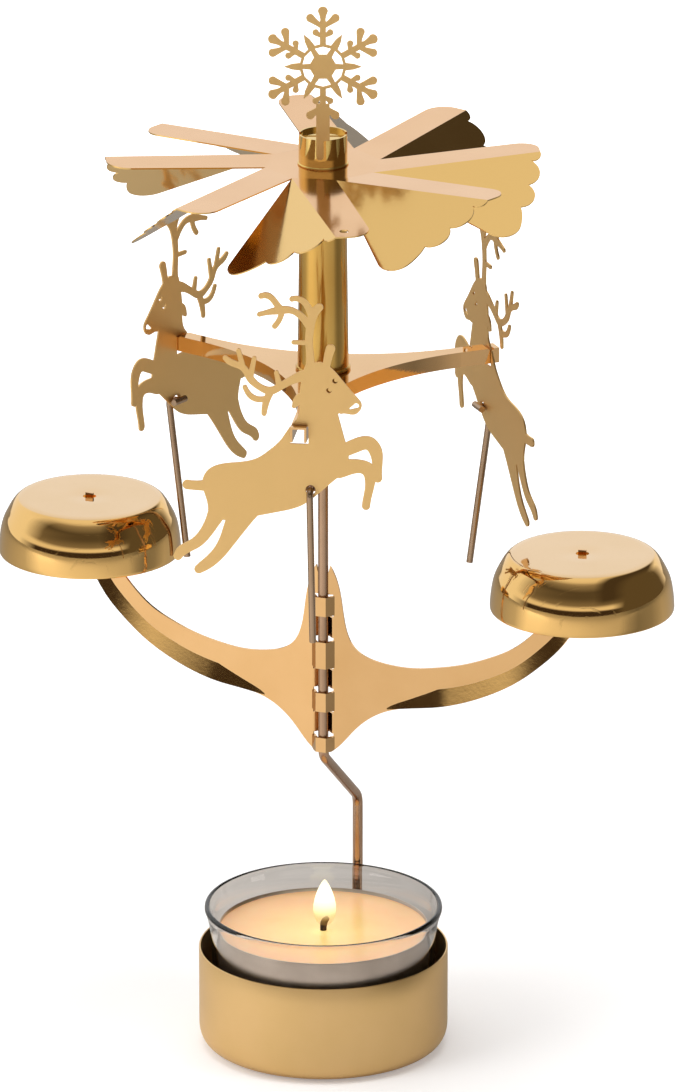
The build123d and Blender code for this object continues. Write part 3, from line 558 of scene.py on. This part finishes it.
def makeFoil(d):
    outer = d["radius"]
    inner = outer - d["wall"]
    top = d["height"]
    profile = [(d["pole"], 0), (outer - d["corner"] - 4, 0)]
    profile += rounded((outer - d["corner"], 0), (outer, 0), (outer, d["corner"]), 6)
    profile += [(outer, 4), (outer, 8), (outer, 14), (outer, 19)]
    profile += [(outer, top - 2.6), (outer, top - 1.4)]
    profile += rounded((outer, top - 1.1), (outer + d["roll"] * 0.4, top - 0.5), (outer, top), 4)
    profile += [(outer - 0.15, top), (inner, top - 0.15)]
    profile += [(inner, top - 3), (inner, 8)]
    profile += rounded(
        (inner, d["corner"]), (inner, d["wall"]), (inner - d["corner"], d["wall"]), 5)
    profile += [(d["pole"], d["wall"])]
    centre = (0, -d["forward"] * mm, d["base"] * mm)
    foil = turned(profile, centre, 2 * d["flutes"], False)
    # every second upright line of the wall goes in a little, which makes the flutes
    low = (d["base"] + 3) * mm
    high = (d["base"] + top - 2) * mm
    for vertex in foil.data.vertices:
        spot = vertex.co - Vector(centre)
        reach = math.hypot(spot.x, spot.y)
        line = round(math.atan2(spot.y, spot.x) / math.pi * d["flutes"])
        vertex.select = reach > (outer - 0.1) * mm and low < vertex.co.z < high and line % 2 == 0
    bpy.ops.object.mode_set(mode="EDIT")
    bpy.ops.mesh.select_mode(type="VERT")
    shrink = 1 - d["fluteDepth"] / outer
    bpy.ops.transform.resize(value=(shrink, shrink, 1), center_override=centre)
    bpy.ops.object.mode_set(mode="OBJECT")
    finishPiece("tealightCup", "tealight", "foil", ["tealight_cup"], 60)


def makeWax(d):
    edge = d["radius"] - d["wall"] - 0.1
    top = d["waxTop"]
    low = d["plateTop"]
    hole = d["waxHole"]
    profile = [(hole, low), (edge - 2, low), (edge, low + 2), (edge, 12), (edge, top - 0.2)]
    profile += rounded((edge - 0.1, top + 0.35), (edge - 0.8, top), (edge - 3.0, top - 0.25), 5)
    profile += [(20, top - 0.35), (14, top - 0.45), (8, top - 0.5), (4, top - 0.5)]
    profile += [(2.2, top - 0.4), (1.3, top - 0.1), (hole, top - 0.1), (hole, 12), (hole, low)]
    turned(profile, (0, -d["forward"] * mm, d["base"] * mm), 144)
    finishPiece("candleWax", "tealight", "wax", ["candle_wax"])


def makeWick(d):
    centre = (0, -d["forward"] * mm, d["base"] * mm)
    foot = d["plateTop"]
    radius = d["wickRadius"]
    profile = [(0.4, foot), (radius, foot + 0.1), (radius, 12), (radius, d["waxTop"] - 0.4)]
    turned(profile, centre, 24, False)
    bpy.ops.object.mode_set(mode="EDIT")
    bpy.ops.mesh.select_mode(type="FACE")
    bpy.ops.mesh.select_all(action="DESELECT")
    bpy.ops.object.mode_set(mode="OBJECT")
    wick = bpy.context.object
    crown = max(wick.data.polygons, key=lambda face: face.center.z)
    crown.select = True
    bpy.ops.object.mode_set(mode="EDIT")
    # the burnt end leans and curls over to the right
    spot = Vector(crown.center)
    lean = 0.0
    for degrees, size in d["wickEnd"]:
        turn = math.radians(degrees) * d["wickLean"]
        lean += turn
        step = Vector((math.sin(lean), 0, math.cos(lean))) * d["wickStep"] * mm
        spot += step
        bpy.ops.mesh.extrude_region_move(TRANSFORM_OT_translate={"value": step})
        bpy.ops.transform.rotate(value=-turn, orient_axis="Y", center_override=spot)
        bpy.ops.transform.resize(value=(size, size, size), center_override=spot)
    bpy.ops.object.mode_set(mode="OBJECT")
    finishPiece("wickEnd", "tealight", "charred", ["wick"], 60)


def makeFlame(d):
    centre = (d["flameAside"] * mm, -d["forward"] * mm, (d["base"] + d["waxTop"]) * mm)
    turned(d["flame"], centre, 48, False)
    finishPiece("flame", "tealight", "flame", (), 60)


makeFoil(tealight)
makeWax(tealight)
makeWick(tealight)
makeFlame(tealight)
print("tealight made")


# Floor: what it shows to a mirror is dark to the right, brightest to the left in front and
# softer near the cup. Tones by the azimuth in degrees from the viewer's side, towards the right
floorPlan = {"half": 7, "height": -0.0003, "ownTone": 0.9, "lift": (0.24, 0.24, 0.25, 1),
             "softLift": (0.06, 0.06, 0.06, 1), "nearReach": (0.1, 0.26), "whiteReach": (0.25, 0.8),
             "far": [(-180, 0.26), (-125, 0.32), (-90, 0.45), (-68, 0.88), (-50, 0.88), (-30, 0.76),
                     (0, 0.70), (25, 0.56), (48, 0.46), (60, 0.24), (72, 0.13), (92, 0.20),
                     (112, 0.40), (135, 0.38), (160, 0.26), (180, 0.26)],
             "near": [(-180, 0.50), (-138, 0.68), (-87, 0.82), (-40, 0.78), (0, 0.68), (40, 0.64),
                      (77, 0.60), (120, 0.40), (144, 0.31), (180, 0.50)]}
half = floorPlan["half"]
corners = [(x, y, floorPlan["height"]) for x, y in (
    (-half, -half), (half, -half), (half, half), (-half, half))]
floorMesh = bpy.data.meshes.new("floor")
floorMesh.from_pydata(corners, [], [(0, 1, 2, 3)])
floorShade = Shade("floor", Roughness=0.9, Emission_Strength=1.0)
floorPlace = floorShade.node("TexCoord", output="Object")
floorX = floorShade.part(floorPlace, "X")
floorY = floorShade.part(floorPlace, "Y")
floorAngle = floorShade.node("Math", {"operation": "ARCTAN2"}, {0: floorX, 1: 0 - floorY})
floorTurn = floorAngle / (2 * math.pi) + 0.5
floorReach = (floorX * floorX + floorY * floorY) ** 0.5


def ringTones(tones):
    return floorShade.ramp(floorTurn, [
        (azimuth / 360 + 0.5, (tone, tone * 0.97, tone * 0.92)) for azimuth, tone in tones])


farTone = ringTones(floorPlan["far"])
nearTone = ringTones(floorPlan["near"])
nearToFar = floorShade.between(floorReach, *floorPlan["nearReach"])
mirrored = floorShade.mix(nearToFar, nearTone, farTone)
glossy = floorShade.node("LightPath", output="Is Glossy Ray")
seenStraight = floorShade.node("LightPath", output="Is Camera Ray")
# far from the cup, where the lamps fade, the floor seen straight is white by itself
distant = floorShade.between(floorReach, *floorPlan["whiteReach"])
lifted = floorShade.mix(distant, floorPlan["lift"], (1, 1, 1, 1))
ownTone = floorPlan["ownTone"]
floorShade.give("Emission Color", floorShade.mix(seenStraight, floorPlan["softLift"], lifted))
floorShade.give("Base Color", floorShade.mix(glossy, (ownTone, ownTone, ownTone, 1), mirrored))
floor = bpy.data.objects.new("floor", floorMesh)
bpy.context.collection.objects.link(floor)
floorMesh.materials.append(floorShade.material)

# World: a room with a bright front window, as the gold mirrors it
world = bpy.data.worlds.new("studio")
bpy.context.scene.world = world
world.use_nodes = True
world.node_tree.nodes.clear()
sky = Graph(world.node_tree)
direction = sky.node("TexCoord", output="Generated")
skyAway = sky.part(direction, "Y")
skyAside = sky.part(direction, "X")
skyHeight = sky.part(direction, "Z")
frontTone = sky.ramp(skyHeight, [
    (0.0, (0.05, 0.035, 0.025)), (0.1, (0.05, 0.035, 0.025)), (0.16, (0.9, 0.86, 0.8)),
    (0.24, (0.9, 0.86, 0.8)), (0.34, (0.25, 0.22, 0.18)), (0.6, (0.10, 0.085, 0.065)),
    (0.8, (0.35, 0.32, 0.28)), (0.93, (0.88, 0.85, 0.8)), (1.0, (0.95, 0.93, 0.9))])
backTone = sky.ramp(skyHeight, [
    (0.0, (1.0, 1.0, 1.0)), (0.6, (1.0, 1.0, 1.0)), (0.85, (0.9, 0.88, 0.85)),
    (1.0, (0.95, 0.93, 0.9))])
room = sky.mix(sky.between(skyAway, 0.2, -0.3), backTone, frontTone)
# a dark corner high up on the right, and a dark far right
darkCorner = sky.between(skyAside, 0.22, 0.42) * sky.between(skyHeight, 0.3, 0.5)
room = sky.mix(darkCorner, room, (0.07, 0.055, 0.04, 1))
room = sky.mix(sky.between(skyAside, 0.6, 0.8), room, (0.12, 0.10, 0.07, 1))
# seen straight, the world is plain white
tone = sky.mix(sky.node("LightPath", output="Is Camera Ray"), room, (1, 1, 1, 1))
background = sky.node("Background", inputs={"Color": tone})
sky.node("OutputWorld", inputs={"Surface": background})


# Soft lamps, all turned to the object's middle
lightTarget = Vector((0, 0, 0.15))


def softLight(name, spot, size, power):
    data = bpy.data.lights.new(name, "AREA")
    data.shape = "RECTANGLE"
    data.size, data.size_y = size
    data.energy = power
    lamp = bpy.data.objects.new(name, data)
    lamp.location = spot
    lamp.rotation_euler = (lightTarget - Vector(spot)).to_track_quat("-Z", "Y").to_euler()
    lamp.visible_glossy = False
    bpy.context.collection.objects.link(lamp)


softLight("leftBox", (-1.4, -0.8, 1.0), (0.9, 1.4), 14)
softLight("rightBox", (1.5, -0.6, 0.8), (0.5, 1.4), 6)
softLight("topBox", (0.1, -0.2, 1.7), (1.2, 1.2), 12)
print("studio made")
